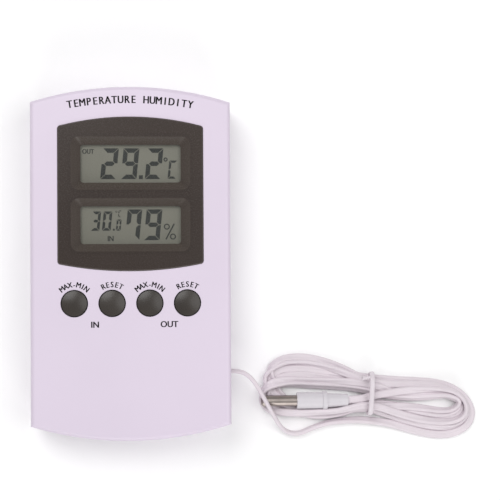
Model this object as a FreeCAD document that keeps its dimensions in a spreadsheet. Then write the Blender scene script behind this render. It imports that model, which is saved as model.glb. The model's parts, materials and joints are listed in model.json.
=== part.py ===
"""Indoor and outdoor maximum-minimum thermometer with hygrometer and a wired probe.

The instrument lies on its back. +X is its width, +Y points to its top edge and +Z out of
its front face. The origin is the middle of the flat rear face. Sizes are millimetres.
"""
import FreeCAD, Part
import math
import os
import re
import Sketcher

SIZES = {
    # case: two shells that meet at split_height
    "case_width": 62.0,
    "case_length": 110.0,
    "end_radius": 102.5,
    "case_height": 20.0,
    "split_height": 10.0,
    "wall": 2.0,
    "front_round": 1.5,
    "rear_round": 0.6,
    "lip_height": 1.5,
    "lip_inset": 1.1,
    "lip_gap": 0.2,
    # dark bezel round the two windows
    "bezel_width": 45.0,
    "bezel_top": 45.5,
    "bezel_bottom": -2.3,
    "bezel_top_radius": 87.0,
    "bezel_bottom_radius": 111.0,
    "bezel_corner": 1.0,
    "bezel_proud": 0.4,
    "bezel_seat": 19.0,
    "bezel_gap": 0.1,
    "bezel_bevel": 0.3,
    # windows: sloping wells in the bezel
    "window_upper": 31.1,
    "window_lower": 12.0,
    "well_width": 36.8,
    "well_length": 16.4,
    "well_corner": 2.5,
    "sight_width": 31.2,
    "sight_length": 11.8,
    "sight_corner": 1.0,
    "skirt_wall": 0.8,
    "skirt_bottom": 17.9,
    "rim_width": 0.5,
    "rim_height": 0.2,
    "lens_thickness": 1.0,
    # liquid crystal panel
    "panel_width": 38.0,
    "panel_length": 37.2,
    "panel_middle": 21.2,
    "panel_top": 16.7,
    "film_thickness": 0.2,
    "glass_thickness": 1.4,
    "frame_wall": 1.6,
    "contact_strip_width": 2.4,
    # circuit board
    "board_width": 54.0,
    "board_bottom": -19.5,
    "board_top": 41.5,
    "board_height": 12.0,
    "board_thickness": 1.2,
    "post_spacing_x": 49.0,
    "post_low": -16.5,
    "post_high": 38.5,
    "post_radius": 2.0,
    "board_screw_radius": 0.9,
    "board_screw_head_radius": 1.8,
    "board_screw_head_height": 1.3,
    "board_screw_length": 4.6,
    "board_hole_radius": 1.1,
    "recess_arm": 1.2,
    "recess_half_slot": 0.25,
    "recess_drive_depth": 0.8,
    # parts soldered to the underside of the board
    "chip_y": 9.0,
    "chip_radius": 6.5,
    "chip_crown_radius": 5.5,
    "chip_edge": 0.6,
    "chip_height": 2.0,
    "sensor_half_width": 4.4,
    "sensor_half_length": 4.5,
    "sensor_height": 4.0,
    "sensor_slot_pitch": 2.6,
    "sensor_slot_width": 1.8,
    "sensor_slot_depth": 1.2,
    "bead_x": -5.0,
    "bead_radius": 1.3,
    "bead_drop": 4.0,
    "bead_leg_radius": 0.25,
    "bead_leg_offset": 0.7,
    "crystal_x": 8.0,
    "crystal_y": 24.0,
    "crystal_radius": 1.1,
    "crystal_length": 6.5,
    "switch_half_width": 4.5,
    "switch_half_length": 2.5,
    "switch_height": 4.0,
    "switch_channel_gap": 0.3,
    "knob_bottom": 0.5,
    # push buttons
    "button_row": -12.3,
    "button_pitch": 11.64,
    "button_radius": 3.9,
    "button_hole_radius": 4.25,
    "button_rim": 20.3,
    "button_crown": 20.8,
    "flange_radius": 5.2,
    "flange_top": 18.0,
    "flange_thickness": 1.0,
    "stem_radius": 2.0,
    "dome_top": 14.85,
    "dome_foot_radius": 4.6,
    "dome_foot_height": 0.4,
    "dome_skirt_radius": 3.6,
    "dome_shoulder_radius": 2.4,
    "dome_crown": 0.5,
    # case screws and their bosses
    "screw_x": 25.5,
    "screw_y": 45.5,
    "boss_radius": 3.2,
    "screw_head_radius": 2.2,
    "screw_head_depth": 3.2,
    "screw_head_height": 1.7,
    "screw_radius": 1.1,
    "screw_tip": 14.5,
    # battery bay, cell and door
    "bay_left": -27.4,
    "bay_right": 22.1,
    "bay_middle": -34.0,
    "bay_width": 11.5,
    "bay_wall": 1.2,
    "bay_ceiling": 13.1,
    "bay_base_height": 3.6,
    "cell_radius": 5.25,
    "cell_length": 43.7,
    "cell_height": 7.6,
    "nub_radius": 1.9,
    "nub_length": 0.8,
    "contact_thickness": 0.5,
    "contact_tab_width": 4.0,
    "contact_tab_top": 16.0,
    "door_ledge": 1.3,
    "door_gap": 0.3,
    "door_thickness": 1.7,
    "door_barrel": 1.1,
    "door_pin_radius": 0.6,
    "door_pin_length": 1.2,
    "pin_gap": 0.05,
    "latch_half_width": 4.0,
    "latch_top": 4.4,
    "latch_thickness": 0.9,
    "groove_half_width": 6.0,
    "groove_width": 0.6,
    "groove_pitch": 1.2,
    "groove_depth": 0.35,
    "spring_wire": 0.3,
    "spring_radius": 3.0,
    "wire_radius": 0.5,
    "wire_end_y": -18.6,
    "wire_left_x": -21.5,
    # fold-out stand
    "stand_width": 34.0,
    "stand_pivot": 22.0,
    "stand_foot": -15.0,
    "stand_lift": 0.4,
    "stand_thickness": 2.2,
    "stand_barrel": 1.3,
    "stand_gap": 0.4,
    "stand_pin_radius": 0.9,
    "stand_pin_length": 1.2,
    "recess_depth": 3.4,
    "recess_wall": 1.6,
    "finger_room": 6.5,
    "grip_radius": 6.0,
    "rib_half_width": 12.0,
    "rib_first": -8.0,
    "rib_pitch": 7.0,
    "rib_width": 1.0,
    "rib_depth": 0.4,
    # wall hanging, air and switch openings
    "hang_y": 42.0,
    "hang_radius": 3.8,
    "hang_slot_radius": 1.9,
    "hang_slot_end": 47.5,
    "vent_x": -18.0,
    "vent_y": 35.0,
    "vent_length": 12.0,
    "vent_width": 1.4,
    "vent_pitch": 2.8,
    "switch_x": 18.0,
    "switch_y": 34.0,
    "switch_slot_length": 6.0,
    "switch_slot_width": 3.2,
    "switch_travel": 2.0,
    "knob_length": 2.2,
    "knob_width": 2.4,
    # lead and probe
    "lead_y": -34.2,
    "lead_height": 10.0,
    "lead_radius": 1.25,
    "grommet_radius": 2.3,
    "grommet_flange": 3.4,
    "grommet_flange_thickness": 1.2,
    "lead_bend_x": 26.0,
    "lead_rise": 12.6,
    "hank_height": 6.6,
    "tie_x": 77.0,
    "tie_y": -42.45,
    "tie_wire": 0.7,
    "tie_half_width": 6.45,
    "tie_low": 0.7,
    "tie_high": 6.7,
    "probe_y": -44.4,
    "probe_height": 4.4,
    "probe_tip": 41.3,
    "probe_radius": 1.75,
    "probe_wall": 0.3,
    "probe_end_wall": 0.4,
    "probe_tip_round": 0.6,
    "probe_seat": 56.0,
    "bead_length": 4.0,
    "sleeve_start": 52.9,
    "sleeve_ring": 61.3,
    "sleeve_ring_end": 62.7,
    "sleeve_end": 69.5,
    "sleeve_radius": 2.6,
    "sleeve_ring_radius": 2.9,
    "sleeve_neck_radius": 2.3,
    "sleeve_tail_radius": 1.9,
}

DOC = FreeCAD.newDocument("thermo_hygrometer")
SHEET = DOC.addObject("Spreadsheet::Sheet", "sizes")
for row, (alias, value) in enumerate(SIZES.items(), start=1):
    SHEET.set(f"A{row}", alias)
    SHEET.set(f"B{row}", str(value))
    SHEET.setAlias(f"B{row}", alias)
DOC.recompute()

NODES = []
X_AXIS = FreeCAD.Rotation(FreeCAD.Vector(0, 1, 0), 90)
Z_AXIS = FreeCAD.Rotation()
BUTTONS = ("in_max_min", "in_reset", "out_max_min", "out_reset")


# ---- small tools -----------------------------------------------------------------------

def linked(expression):
    """Spell each size in an expression as a reference to its spreadsheet cell."""
    return re.sub(r"[a-z_]+", lambda m: f"sizes.{m[0]}" if m[0] in SIZES else m[0], str(expression))


def number(expression):
    """The present value of an expression, in millimetres."""
    return float(SHEET.evalExpression(linked(expression)))


def bind(feature, **properties):
    """Bind properties to expressions; a double underscore stands for a dot."""
    for name, expression in properties.items():
        feature.setExpression(name.replace("__", "."), linked(expression))


def place(feature, x="0", y="0", z="0"):
    """Bind the position of a feature."""
    bind(feature, Placement__Base__x=x, Placement__Base__y=y, Placement__Base__z=z)


def node(feature, name):
    """Keep a feature as a sub-part of that name."""
    feature.Label = name
    NODES.append(feature)
    return feature


def new_body(name):
    return DOC.addObject("PartDesign::Body", name)


def new_sketch(body, name, plane="XY_Plane", height="0"):
    """An empty sketch on one of the body's own planes, lifted by height."""
    sketch = body.newObject("Sketcher::SketchObject", name)
    support = next(f for f in body.Origin.OriginFeatures if f.Role == plane)
    sketch.AttachmentSupport = (support, [""])
    sketch.MapMode = "FlatFace"
    bind(sketch, AttachmentOffset__Base__z=height)
    return sketch


def constrain(sketch, kind, *arguments, to):
    """Add a dimension to a sketch and bind it to an expression."""
    index = sketch.addConstraint(Sketcher.Constraint(kind, *arguments, number(to)))
    sketch.setExpression(f"Constraints[{index}]", linked(to))


def outline(sketch, corners, arcs=None):
    """Draw a closed anticlockwise outline through corners.

    arcs maps the number of an edge to its radius: that edge bulges outwards.
    """
    arcs = arcs or {}
    first = sketch.GeometryCount
    points = [FreeCAD.Vector(number(x), number(y), 0) for x, y in corners]
    for i, start in enumerate(points):
        end = points[(i + 1) % len(points)]
        if i in arcs:
            radius = number(arcs[i])
            chord = end - start
            inward = FreeCAD.Vector(-chord.y, chord.x, 0).normalize()
            rise = math.sqrt(radius ** 2 - (chord.Length / 2) ** 2)
            centre = (start + end) * 0.5 + inward * rise
            angles = [math.atan2(p.y - centre.y, p.x - centre.x) for p in (start, end)]
            circle = Part.Circle(centre, FreeCAD.Vector(0, 0, 1), radius)
            sketch.addGeometry(Part.ArcOfCircle(circle, *angles), False)
        else:
            sketch.addGeometry(Part.LineSegment(start, end), False)
    for i, (x, y) in enumerate(corners):
        edge = first + i
        following = first + (i + 1) % len(corners)
        sketch.addConstraint(Sketcher.Constraint("Coincident", edge, 2, following, 1))
        constrain(sketch, "DistanceX", -1, 1, edge, 1, to=x)
        constrain(sketch, "DistanceY", -1, 1, edge, 1, to=y)
        if i in arcs:
            constrain(sketch, "Radius", edge, to=arcs[i])
    return sketch


def circles(sketch, centres, radius):
    """Draw circles of one radius."""
    for x, y in centres:
        centre = FreeCAD.Vector(number(x), number(y), 0)
        circle = Part.Circle(centre, FreeCAD.Vector(0, 0, 1), number(radius))
        index = sketch.addGeometry(circle, False)
        constrain(sketch, "DistanceX", -1, 1, index, 3, to=x)
        constrain(sketch, "DistanceY", -1, 1, index, 3, to=y)
        constrain(sketch, "Radius", index, to=radius)
    return sketch


def arched(sketch, half_width, top, bottom, top_radius, bottom_radius):
    """A plate with straight sides whose top and bottom edges are shallow arcs.

    top and bottom are the places of the arcs' crowns.
    """
    drop = "({0} - sqrt(({0}) ^ 2 - ({1}) ^ 2))"
    top_corner = f"{top} - {drop.format(top_radius, half_width)}"
    bottom_corner = f"{bottom} + {drop.format(bottom_radius, half_width)}"
    corners = [(f"-({half_width})", bottom_corner), (half_width, bottom_corner),
               (half_width, top_corner), (f"-({half_width})", top_corner)]
    return outline(sketch, corners, {0: bottom_radius, 2: top_radius})


def case_outline(sketch, inset="0"):
    """The outline of the case, moved inwards by inset."""
    half_length = f"(case_length / 2 - {inset})"
    return arched(sketch, f"(case_width / 2 - {inset})", half_length, f"-{half_length}",
                  "end_radius", "end_radius")


def rectangle(sketch, x_low, x_high, y_low, y_high):
    return outline(sketch, [(x_low, y_low), (x_high, y_low), (x_high, y_high), (x_low, y_high)])


def rounded_rectangle(sketch, width, length, corner, middle_y):
    """A rectangle with round corners, centred on X = 0."""
    side, inner_side = f"(({width}) / 2)", f"(({width}) / 2 - ({corner}))"
    end, inner_end = f"(({length}) / 2)", f"(({length}) / 2 - ({corner}))"
    quarter = [(inner_side, f"-{end}"), (side, f"-{inner_end}"), (side, inner_end), (inner_side, end)]
    opposite = [(f"-{x}", y) for x, y in reversed(quarter)]
    corners = [(x, f"{middle_y} + {y}") for x, y in quarter + opposite]
    return outline(sketch, corners, {0: corner, 2: corner, 4: corner, 6: corner})


def pad(body, sketch, length):
    """Add material above a sketch."""
    feature = body.newObject("PartDesign::Pad", f"{sketch.Name}_pad")
    feature.Profile = sketch
    bind(feature, Length=length)
    DOC.recompute()
    return feature


def pocket(body, sketch, depth, upward=True):
    """Remove material above a sketch, or below it, and make sure that some has gone."""
    before = body.Shape.Volume
    feature = body.newObject("PartDesign::Pocket", f"{sketch.Name}_pocket")
    feature.Profile = sketch
    feature.Reversed = upward
    bind(feature, Length=depth)
    DOC.recompute()
    if body.Shape.Volume >= before:
        raise ValueError(f"{sketch.Name} removes nothing")
    return feature


def dress(body, kind, size, chosen):
    """Round or bevel the edges of a body that chosen(edge) picks."""
    tip = body.Tip
    names = [f"Edge{i}" for i, edge in enumerate(tip.Shape.Edges, start=1) if chosen(edge)]
    feature = body.newObject(f"PartDesign::{kind}", f"{tip.Name}_{kind.lower()}")
    feature.Base = (tip, names)
    bind(feature, **{"Radius" if kind == "Fillet" else "Size": size})
    DOC.recompute()
    return feature


def turned(name, profile, arcs=None, about="Z"):
    """A body of revolution; profile gives (radius, height) pairs about Z, (place, radius) about X."""
    body = new_body(name)
    plane, axis = ("XZ_Plane", "V_Axis") if about == "Z" else ("XY_Plane", "H_Axis")
    sketch = outline(new_sketch(body, f"{name}_profile", plane), profile, arcs)
    feature = body.newObject("PartDesign::Revolution", f"{name}_turned")
    feature.Profile = sketch
    feature.ReferenceAxis = (sketch, [axis])
    feature.Angle = 360
    DOC.recompute()
    return body


def block(name, x, y, z):
    """A box between two places on each axis."""
    box = DOC.addObject("Part::Box", name)
    bind(box, Length=f"{x[1]} - ({x[0]})", Width=f"{y[1]} - ({y[0]})", Height=f"{z[1]} - ({z[0]})")
    place(box, x[0], y[0], z[0])
    return box


def rod(name, radius, length, x, y, z, rotation=Z_AXIS):
    """A cylinder that starts at a point and runs along +Z, or along +X."""
    cylinder = DOC.addObject("Part::Cylinder", name)
    cylinder.Placement.Rotation = rotation
    bind(cylinder, Radius=radius, Height=length)
    place(cylinder, x, y, z)
    return cylinder


def fuse(name, parts):
    feature = DOC.addObject("Part::MultiFuse", name)
    feature.Shapes = parts
    return feature


def cut(name, base, tool):
    feature = DOC.addObject("Part::Cut", name)
    feature.Base = base
    feature.Tool = tool
    return feature


def group(name, parts):
    """Separate solids in one sub-part."""
    feature = DOC.addObject("Part::Compound", name)
    feature.Links = parts
    return feature


def grid(x, y):
    """Four places, mirrored about both axes."""
    return [(f"{side}{x}", f"{end}{y}") for side in ("-", "") for end in ("-", "")]


def along_path(name, points, radius, report=False):
    """A tube along straight runs joined by tangent arcs, each as large as its runs allow."""
    path = [FreeCAD.Vector(*point) for point in points]
    edges, last, radii = [], path[0], []
    for before, corner, after in zip(path, path[1:], path[2:]):
        back = (before - corner).normalize()
        ahead = (after - corner).normalize()
        turn = math.pi - back.getAngle(ahead)
        reach = 0.45 * min((corner - before).Length, (after - corner).Length)
        arc_radius = reach / math.tan(turn / 2)
        start, end = corner + back * reach, corner + ahead * reach
        inward = (back + ahead).normalize()
        middle = corner + inward * (arc_radius / math.cos(turn / 2) - arc_radius)
        edges.append(Part.LineSegment(last, start).toShape())
        edges.append(Part.Arc(start, middle, end).toShape())
        radii.append(arc_radius)
        last = end
    edges.append(Part.LineSegment(last, path[-1]).toShape())
    wire = Part.Wire(edges)
    length = wire.Length
    start_face = Part.Wire(Part.makeCircle(radius, path[0], path[1] - path[0]))
    tube = wire.makePipeShell([start_face], True, False)
    ideal = math.pi * radius ** 2 * length
    if abs(tube.Volume / ideal - 1) > 0.02:
        raise ValueError(f"{name} has volume {tube.Volume:.1f}, not {ideal:.1f}")
    if report:
        print(name, "length", round(length, 1), "radii", [round(r, 1) for r in radii])
    feature = DOC.addObject("Part::Feature", name)
    feature.Shape = tube
    feature.Placement = FreeCAD.Placement()
    return feature


# ---- case --------------------------------------------------------------------------------

def at_height(edge, height):
    """Whether an edge lies in a level plane."""
    return all(abs(v.Z - number(height)) < 0.01 for v in edge.Vertexes)


def upright(edge):
    """Whether an edge is straight and runs up and down."""
    return (edge.Curve.TypeId == "Part::GeomLine"
            and abs(edge.Vertexes[0].Z - edge.Vertexes[-1].Z) > 0.5)


def front_cover():
    body = new_body("front_shell")
    pad(body, case_outline(new_sketch(body, "front_outline", height="split_height")),
        "case_height - split_height")
    dress(body, "Fillet", "front_round", lambda edge: at_height(edge, "case_height"))
    pocket(body, case_outline(new_sketch(body, "front_inside", height="split_height"), "wall"),
           "case_height - wall - split_height")
    pocket(body, case_outline(new_sketch(body, "lip_seat", height="split_height"),
                              "(lip_inset - lip_gap)"), "lip_height + lip_gap")
    pocket(body, arched(new_sketch(body, "bezel_seat_outline", height="bezel_seat"),
                        "(bezel_width / 2 + bezel_gap)", "(bezel_top + bezel_gap)",
                        "(bezel_bottom - bezel_gap)", "bezel_top_radius", "bezel_bottom_radius"),
           "case_height - bezel_seat")
    seat_side = number("bezel_width / 2 + bezel_gap")
    dress(body, "Fillet", "bezel_corner + bezel_gap", lambda edge: upright(edge)
          and abs(abs(edge.Vertexes[0].X) - seat_side) < 0.01)
    openings = new_sketch(body, "skirt_openings", height="split_height")
    for window in ("window_upper", "window_lower"):
        half_width = "(well_width / 2 + skirt_wall + bezel_gap)"
        half_length = "(well_length / 2 + skirt_wall + bezel_gap)"
        rectangle(openings, f"-{half_width}", half_width,
                  f"{window} - {half_length}", f"{window} + {half_length}")
    pocket(body, openings, "case_height - split_height")
    pocket(body, circles(new_sketch(body, "button_holes", height="split_height"),
                         button_places(), "button_hole_radius"), "case_height - split_height")
    pad(body, circles(new_sketch(body, "front_bosses", height="split_height"),
                      grid("screw_x", "screw_y"), "boss_radius"),
        "case_height - wall / 2 - split_height")
    posts = post_places()
    pad(body, circles(new_sketch(body, "board_posts", height="board_height + board_thickness"),
                      posts, "post_radius"),
        "case_height - wall / 2 - board_height - board_thickness")
    pocket(body, circles(new_sketch(body, "front_pilots", height="split_height"),
                         grid("screw_x", "screw_y"), "screw_radius + pin_gap"),
           "screw_tip + 1 - split_height")
    pocket(body, circles(new_sketch(body, "post_pilots", height="board_height"),
                         posts, "board_screw_radius + pin_gap"), "board_screw_length + 0.4")
    notch = rod("front_lead_notch", "grommet_radius", "wall * 2",
                "case_width / 2 - wall * 1.5", "lead_y", "lead_height", X_AXIS)
    node(cut("front_with_notch", body, notch), "front_cover")


def button_places():
    return [(f"button_pitch * {step}", "button_row") for step in (-1.5, -0.5, 0.5, 1.5)]


def post_places():
    return [(f"{side}post_spacing_x / 2", y) for side in ("-", "") for y in ("post_low", "post_high")]


def rear_cover():
    body = new_body("rear_shell")
    pad(body, case_outline(new_sketch(body, "rear_outline")), "split_height")
    dress(body, "Fillet", "rear_round", lambda edge: at_height(edge, "0"))
    pad(body, case_outline(new_sketch(body, "lip_outline", height="split_height - 2"), "lip_inset"),
        "lip_height + 2")
    pocket(body, case_outline(new_sketch(body, "rear_inside", height="wall"), "wall"),
           "split_height + lip_height - wall")

    bay_y = ("bay_middle - bay_width / 2", "bay_middle + bay_width / 2")
    base = new_sketch(body, "bay_base", height="wall / 2")
    rectangle(base, "bay_left - bay_wall - wall", "bay_right + bay_wall + wall",
              f"{bay_y[0]} - bay_wall - wall", f"{bay_y[1]} + bay_wall + wall")
    pad(body, base, "bay_base_height - wall / 2")
    walls = new_sketch(body, "bay_walls", height="wall / 2")
    rectangle(walls, "bay_left - bay_wall", "bay_right + bay_wall",
              f"{bay_y[0]} - bay_wall", f"{bay_y[1]} + bay_wall")
    pad(body, walls, "bay_ceiling + bay_wall - wall / 2")
    recess = new_sketch(body, "stand_housing", height="wall / 2")
    half_recess = "(stand_width / 2 + stand_gap)"
    recess_low = "stand_foot - finger_room"
    recess_high = "stand_pivot + stand_barrel + stand_gap"
    rectangle(recess, f"-({half_recess} + recess_wall)", f"{half_recess} + recess_wall",
              f"{recess_low} - recess_wall", f"{recess_high} + recess_wall")
    pad(body, recess, "recess_depth + recess_wall - wall / 2")
    pad(body, circles(new_sketch(body, "rear_bosses", height="wall / 2"),
                      grid("screw_x", "screw_y"), "boss_radius"), "split_height - wall / 2")

    pocket(body, rectangle(new_sketch(body, "stand_recess"), f"-{half_recess}", half_recess,
                           recess_low, recess_high), "recess_depth")
    pocket(body, rectangle(new_sketch(body, "bay_inside"), "bay_left", "bay_right", *bay_y),
           "bay_ceiling")
    pocket(body, rectangle(new_sketch(body, "door_opening"),
                           "bay_left - door_ledge", "bay_right + door_ledge",
                           f"{bay_y[0]} - door_ledge", f"{bay_y[1]} + door_ledge"), "wall")
    barrel_room = new_sketch(body, "door_barrel_room")
    rectangle(barrel_room, "bay_left - door_ledge", "bay_right + door_ledge",
              f"{bay_y[0]} - door_ledge", f"{bay_y[0]} + 1.4")
    pocket(body, barrel_room, "2 * door_barrel + door_gap")
    notch = new_sketch(body, "latch_notch")
    rectangle(notch, "(bay_left + bay_right) / 2 - 5", "(bay_left + bay_right) / 2 + 5",
              f"{bay_y[1]} - 0.6", f"{bay_y[1]} + door_ledge + 0.3")
    pocket(body, notch, "5.2")
    pocket(body, circles(new_sketch(body, "screw_head_holes"), grid("screw_x", "screw_y"),
                         "screw_head_radius + 0.3"), "screw_head_depth")
    pocket(body, circles(new_sketch(body, "screw_holes"), grid("screw_x", "screw_y"),
                         "screw_radius + 0.2"), "split_height")
    keyhole(body)
    pocket(body, vents(new_sketch(body, "vent_slots")), "wall")
    slot = new_sketch(body, "switch_slot")
    rectangle(slot, "switch_x - switch_slot_length / 2", "switch_x + switch_slot_length / 2",
              "switch_y - switch_slot_width / 2", "switch_y + switch_slot_width / 2")
    pocket(body, slot, "wall")
    node(cut("rear_with_holes", body, fuse("rear_cross_holes", rear_cross_holes())), "rear_cover")


def keyhole(body):
    """A round hole for a screw head, with a narrow slot above it."""
    pocket(body, circles(new_sketch(body, "hang_hole"), [("0", "hang_y")], "hang_radius"), "wall")
    slot = new_sketch(body, "hang_slot")
    outline(slot, [("-hang_slot_radius", "hang_y"), ("hang_slot_radius", "hang_y"),
                   ("hang_slot_radius", "hang_slot_end"), ("-hang_slot_radius", "hang_slot_end")],
            {2: "hang_slot_radius * 1.02"})
    pocket(body, slot, "wall")


def vents(sketch):
    for step in range(-2, 3):
        middle = f"vent_y + {step} * vent_pitch"
        rectangle(sketch, "vent_x - vent_length / 2", "vent_x + vent_length / 2",
                  f"{middle} - vent_width / 2", f"{middle} + vent_width / 2")
    return sketch


def rear_cross_holes():
    """The holes across the rear shell: two hinge lines, the lead and the contacts' slots."""
    stand_hole = "stand_width / 2 + stand_pin_length + stand_gap"
    return [
        rod("stand_pin_hole", "stand_pin_radius + pin_gap", f"2 * ({stand_hole})",
            f"-({stand_hole})", "stand_pivot", "stand_lift + stand_barrel", X_AXIS),
        rod("door_pin_hole", "door_pin_radius + pin_gap",
            "bay_right - bay_left + 2 * (door_ledge + door_pin_length)",
            "bay_left - door_ledge - door_pin_length", door_axis_y(), "door_barrel", X_AXIS),
        rod("rear_lead_notch", "grommet_radius", "wall * 2",
            "case_width / 2 - wall * 1.5", "lead_y", "lead_height", X_AXIS),
    ] + [
        block(f"{side}_contact_slot", x, ("bay_middle - contact_tab_width / 2 - 0.2",
                                          "bay_middle + contact_tab_width / 2 + 0.2"),
              ("bay_ceiling - 0.5", "bay_ceiling + bay_wall + 0.5"))
        for side, x in (("positive", ("bay_right - 0.9", "bay_right")),
                        ("negative", ("bay_left", "bay_left + 0.9")))
    ]


def door_axis_y():
    return "(bay_middle - bay_width / 2 - door_ledge + door_gap + door_barrel)"


def case_screws():
    screws = []
    for count, (x, y) in enumerate(grid("screw_x", "screw_y"), start=1):
        head = rod(f"case_screw_head_{count}", "screw_head_radius", "screw_head_height",
                   x, y, "screw_head_depth - screw_head_height")
        shank = rod(f"case_screw_shank_{count}", "screw_radius",
                    "screw_tip - screw_head_depth", x, y, "screw_head_depth")
        screws.append(crossed(f"case_screw_{count}", head, shank, x, y,
                              "screw_head_depth - screw_head_height"))
    node(group("case_screw_set", screws), "case_screws")


def crossed(name, head, shank, x, y, bottom):
    """A screw whose head has a cross recess, open downwards."""
    arms = (("x", "recess_arm", "recess_half_slot"), ("y", "recess_half_slot", "recess_arm"))
    bars = [block(f"{name}_slot_{across}", (f"{x} - {half_x}", f"{x} + {half_x}"),
                  (f"{y} - {half_y}", f"{y} + {half_y}"),
                  (f"{bottom} - 0.1", f"{bottom} + recess_drive_depth"))
            for across, half_x, half_y in arms]
    return cut(name, fuse(f"{name}_blank", [head, shank]), fuse(f"{name}_recess", bars))


# ---- windows and display -------------------------------------------------------------------

def display_bezel():
    body = new_body("display_bezel")
    plate = new_sketch(body, "bezel_outline", height="bezel_seat")
    arched(plate, "(bezel_width / 2)", "bezel_top", "bezel_bottom",
           "bezel_top_radius", "bezel_bottom_radius")
    pad(body, plate, "case_height + bezel_proud - bezel_seat")
    dress(body, "Fillet", "bezel_corner", upright)
    dress(body, "Chamfer", "bezel_bevel", lambda edge: at_height(edge, "case_height + bezel_proud"))
    for name in ("window_upper", "window_lower"):
        skirt = new_sketch(body, f"{name}_skirt", height="skirt_bottom")
        rounded_rectangle(skirt, "well_width + 2 * skirt_wall", "well_length + 2 * skirt_wall",
                          "well_corner", name)
        pad(body, skirt, "bezel_seat - skirt_bottom + 0.5")
        rim = new_sketch(body, f"{name}_rim", height="case_height")
        rounded_rectangle(rim, "well_width + 2 * rim_width", "well_length + 2 * rim_width",
                          "well_corner + rim_width", name)
        pad(body, rim, "bezel_proud + rim_height")
        top = new_sketch(body, f"{name}_well_top", height="case_height + bezel_proud + rim_height")
        rounded_rectangle(top, "well_width", "well_length", "well_corner", name)
        sight = new_sketch(body, f"{name}_sight", height="skirt_bottom")
        rounded_rectangle(sight, "sight_width", "sight_length", "sight_corner", name)
        well = body.newObject("PartDesign::SubtractiveLoft", f"{name}_well")
        well.Profile = top
        well.Sections = [sight]
        well.Ruled = True
        DOC.recompute()
    node(body, "display_bezel")


def lenses():
    for name in ("upper", "lower"):
        half_width = "(well_width / 2 + skirt_wall / 2)"
        half_length = "(well_length / 2 + skirt_wall / 2)"
        lens = block(f"lens_{name}", (f"-{half_width}", half_width),
                     (f"window_{name} - {half_length}", f"window_{name} + {half_length}"),
                     ("skirt_bottom - lens_thickness", "skirt_bottom"))
        node(lens, f"window_lens_{name}")


def panel():
    """The liquid crystal panel: glass, films, its frame and the rubber contact strips."""
    x = ("-panel_width / 2", "panel_width / 2")
    y = ("panel_middle - panel_length / 2", "panel_middle + panel_length / 2")
    glass_top = "panel_top - film_thickness"
    glass_low = f"{glass_top} - glass_thickness"
    board_top = "board_height + board_thickness"
    node(block("panel_glass", x, y, (glass_low, glass_top)), "lcd_glass")
    node(block("panel_polariser", (f"{x[0]} + 1", f"{x[1]} - 1"), (f"{y[0]} + 1", f"{y[1]} - 1"),
               (glass_top, "panel_top")), "lcd_polariser")
    strip = "contact_strip_width"
    node(block("panel_reflector", (f"{x[0]} + 1", f"{x[1]} - 1"),
               (f"{y[0]} + {strip} + 1", f"{y[1]} - {strip} - 1"),
               (f"{glass_low} - film_thickness", glass_low)), "lcd_reflector")
    strips = {"lower": (f"{y[0]} + 0.3", f"{y[0]} + 0.3 + {strip}"),
              "upper": (f"{y[1]} - 0.3 - {strip}", f"{y[1]} - 0.3")}
    for name, span in strips.items():
        node(block(f"strip_{name}", (f"{x[0]} + 1", f"{x[1]} - 1"), span, (board_top, glass_low)),
             f"contact_strip_{name}")
    gap = 0.15
    outer = block("frame_outside", (f"{x[0]} - frame_wall", f"{x[1]} + frame_wall"),
                  (f"{y[0]} - frame_wall", f"{y[1]} + frame_wall"), (board_top, "panel_top"))
    inner = block("frame_inside", (f"{x[0]} - {gap}", f"{x[1]} + {gap}"),
                  (f"{y[0]} - {gap}", f"{y[1]} + {gap}"), (f"{board_top} - 1", "panel_top + 1"))
    node(cut("frame_ring", outer, inner), "lcd_frame")


# ---- circuit board and what is soldered to it ------------------------------------------------

def circuit_board():
    body = new_body("circuit_board")
    plate = new_sketch(body, "board_outline", height="board_height")
    rectangle(plate, "-board_width / 2", "board_width / 2", "board_bottom", "board_top")
    pad(body, plate, "board_thickness")
    pocket(body, circles(new_sketch(body, "board_holes", height="board_height"),
                         post_places(), "board_hole_radius"), "board_thickness")
    node(body, "circuit_board")
    head_bottom = "board_height - board_screw_head_height"
    screws = []
    for count, (x, y) in enumerate(post_places(), start=1):
        head = rod(f"board_screw_head_{count}", "board_screw_head_radius",
                   "board_screw_head_height", x, y, head_bottom)
        shank = rod(f"board_screw_shank_{count}", "board_screw_radius", "board_screw_length",
                    x, y, "board_height")
        screws.append(crossed(f"board_screw_{count}", head, shank, x, y, head_bottom))
    node(group("board_screw_set", screws), "board_screws")


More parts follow.
